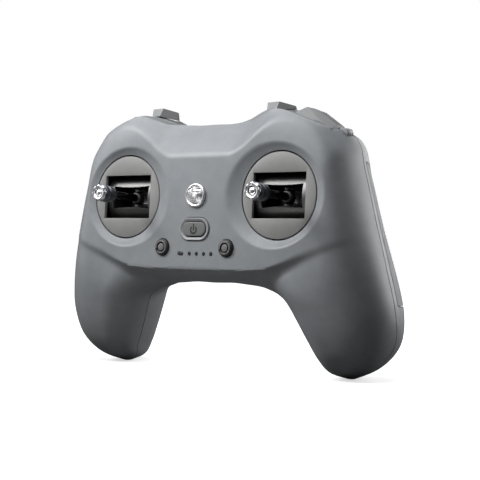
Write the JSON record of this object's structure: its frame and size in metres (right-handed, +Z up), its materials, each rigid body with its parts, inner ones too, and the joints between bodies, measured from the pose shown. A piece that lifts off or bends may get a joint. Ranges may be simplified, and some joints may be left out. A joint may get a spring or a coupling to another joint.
{
  "type": "radio transmitter controller",
  "caption": "Handheld radio transmitter in gamepad form: two stick gimbals, trim knobs, power button, status lamps, lanyard eyelet and shoulder switches on a grey two-grip case",
  "frame": {"origin": "centre of the bounding box at the level of the grip tips, which the part stands on", "axes": "+X to the user's right, +Y from the front panel to the back, +Z up; the panel leans back 4.72 degrees"},
  "size_m": [0.165, 0.0626, 0.1149],
  "materials": {
    "case_plastic": "fine matte grey moulding",
    "grip_rubber": "grey grip pad",
    "gimbal_face": "satin neutral grey plate",
    "black_plastic": "black moulding",
    "satin_metal": "satin bead-blasted metal",
    "stick_dark": "dark anodised, turned grooves",
    "chrome": "polished chrome",
    "circuit_board": "green solder mask",
    "steel": "plain steel",
    "trim_plastic": "dark grey dial",
    "switch_plastic": "matte grey paddle",
    "button_plastic": "dark grey button",
    "lamp_lens": "unlit status lamp",
    "battery_pouch": "foil pouch cell"
  },
  "bodies": {
    "case": {"front_shell": "case_plastic", "back_shell": "case_plastic", "power_bezel": "case_plastic", "grip_pad_left": "grip_rubber", "gimbal_faceplate_left": "gimbal_face", "gimbal_frame_left": "black_plastic", "pitch_sensor_left": "circuit_board", "trim_encoder_left": "black_plastic", "switch_body_left": "black_plastic", "shoulder_tact_left": "black_plastic", "case_screw_upper_left": "steel", "case_screw_lower_left": "steel", "grip_pad_right": "grip_rubber", "gimbal_faceplate_right": "gimbal_face", "gimbal_frame_right": "black_plastic", "pitch_sensor_right": "circuit_board", "trim_encoder_right": "black_plastic", "switch_body_right": "black_plastic", "shoulder_tact_right": "black_plastic", "case_screw_upper_right": "steel", "case_screw_lower_right": "steel", "pitch_spring_right": "steel", "lanyard_eyelet": "chrome", "lanyard_bar": "chrome", "power_tact_switch": "black_plastic", "light_pipe_1": "lamp_lens", "light_pipe_2": "lamp_lens", "light_pipe_3": "lamp_lens", "light_pipe_4": "lamp_lens", "light_pipe_5": "lamp_lens", "front_board": "circuit_board", "main_board": "circuit_board", "antenna_board": "circuit_board", "battery": "battery_pouch", "usb_port": "steel", "buzzer": "black_plastic"},
    "yoke_left": {"gimbal_yoke_left": "satin_metal", "roll_sensor_left": "circuit_board", "roll_spring_left": "steel"},
    "stick_left": {"stick_drum_left": "black_plastic", "stick_shaft_left": "stick_dark", "stick_sleeve_left": "stick_dark", "stick_tip_left": "chrome"},
    "trim_left": {"trim_knob_left": "trim_plastic"},
    "switch_left": {"mode_switch_left": "switch_plastic"},
    "shoulder_left": {"shoulder_button_left": "switch_plastic"},
    "yoke_right": {"gimbal_yoke_right": "satin_metal", "roll_sensor_right": "circuit_board", "roll_spring_right": "steel"},
    "stick_right": {"stick_drum_right": "black_plastic", "stick_shaft_right": "stick_dark", "stick_sleeve_right": "stick_dark", "stick_tip_right": "chrome"},
    "trim_right": {"trim_knob_right": "trim_plastic"},
    "switch_right": {"mode_switch_right": "switch_plastic"},
    "shoulder_right": {"shoulder_button_right": "switch_plastic"},
    "power": {"power_button": "button_plastic"},
    "setup": {"setup_button": "button_plastic"},
    "door": {"battery_door": "case_plastic"}
  },
  "joints": [
    {"name": "throttle_stick_tilt", "type": "hinge", "parent": "case", "child": "yoke_left", "pos_m": [-0.0401, 0.00434, 0.07418], "axis": [1, 0, 0], "range_deg": [-24, 24]},
    {"name": "yaw_stick_tilt", "type": "hinge", "parent": "yoke_left", "child": "stick_left", "pos_m": [-0.0401, 0.00434, 0.07418], "axis": [0, 0.0823, 0.9966], "range_deg": [-24, 24], "stiffness_Nm_per_rad": 0.06},
    {"name": "pitch_stick_tilt", "type": "hinge", "parent": "case", "child": "yoke_right", "pos_m": [0.0401, 0.00434, 0.07418], "axis": [1, 0, 0], "range_deg": [-24, 24], "stiffness_Nm_per_rad": 0.06},
    {"name": "roll_stick_tilt", "type": "hinge", "parent": "yoke_right", "child": "stick_right", "pos_m": [0.0401, 0.00434, 0.07418], "axis": [0, 0.0823, 0.9966], "range_deg": [-24, 24], "stiffness_Nm_per_rad": 0.06},
    {"name": "trim_knob_turn_left", "type": "hinge", "parent": "case", "child": "trim_left", "pos_m": [-0.01685, -0.01351, 0.05357], "axis": [0, 0.9966, -0.0823], "range_deg": [-135, 135]},
    {"name": "mode_switch_flip_left", "type": "hinge", "parent": "case", "child": "switch_left", "pos_m": [-0.031, 0.0018, 0.105], "axis": [1, 0, 0], "range_deg": [-12, 12]},
    {"name": "trim_knob_turn_right", "type": "hinge", "parent": "case", "child": "trim_right", "pos_m": [0.01685, -0.01351, 0.05357], "axis": [0, 0.9966, -0.0823], "range_deg": [-135, 135]},
    {"name": "mode_switch_flip_right", "type": "hinge", "parent": "case", "child": "switch_right", "pos_m": [0.031, 0.0018, 0.105], "axis": [1, 0, 0], "range_deg": [-12, 12]},
    {"name": "shoulder_button_press_left", "type": "slide", "parent": "case", "child": "shoulder_left", "axis": [0.3714, 0, -0.9285], "range_m": [0, 0.001], "stiffness_N_per_m": 400, "springref_m": -0.0005},
    {"name": "shoulder_button_press_right", "type": "slide", "parent": "case", "child": "shoulder_right", "axis": [-0.3714, 0, -0.9285], "range_m": [0, 0.001], "stiffness_N_per_m": 400, "springref_m": -0.0005},
    {"name": "power_button_press", "type": "slide", "parent": "case", "child": "power", "axis": [0, 0.9966, -0.0823], "range_m": [0, 0.0004], "stiffness_N_per_m": 600, "springref_m": -0.0005},
    {"name": "setup_button_press", "type": "slide", "parent": "case", "child": "setup", "axis": [0, -1, 0], "range_m": [0, 0.0004], "stiffness_N_per_m": 600, "springref_m": -0.0005},
    {"name": "battery_door_pull", "type": "slide", "parent": "case", "child": "door", "axis": [0, 1, 0], "range_m": [0, 0.012]}
  ]
}
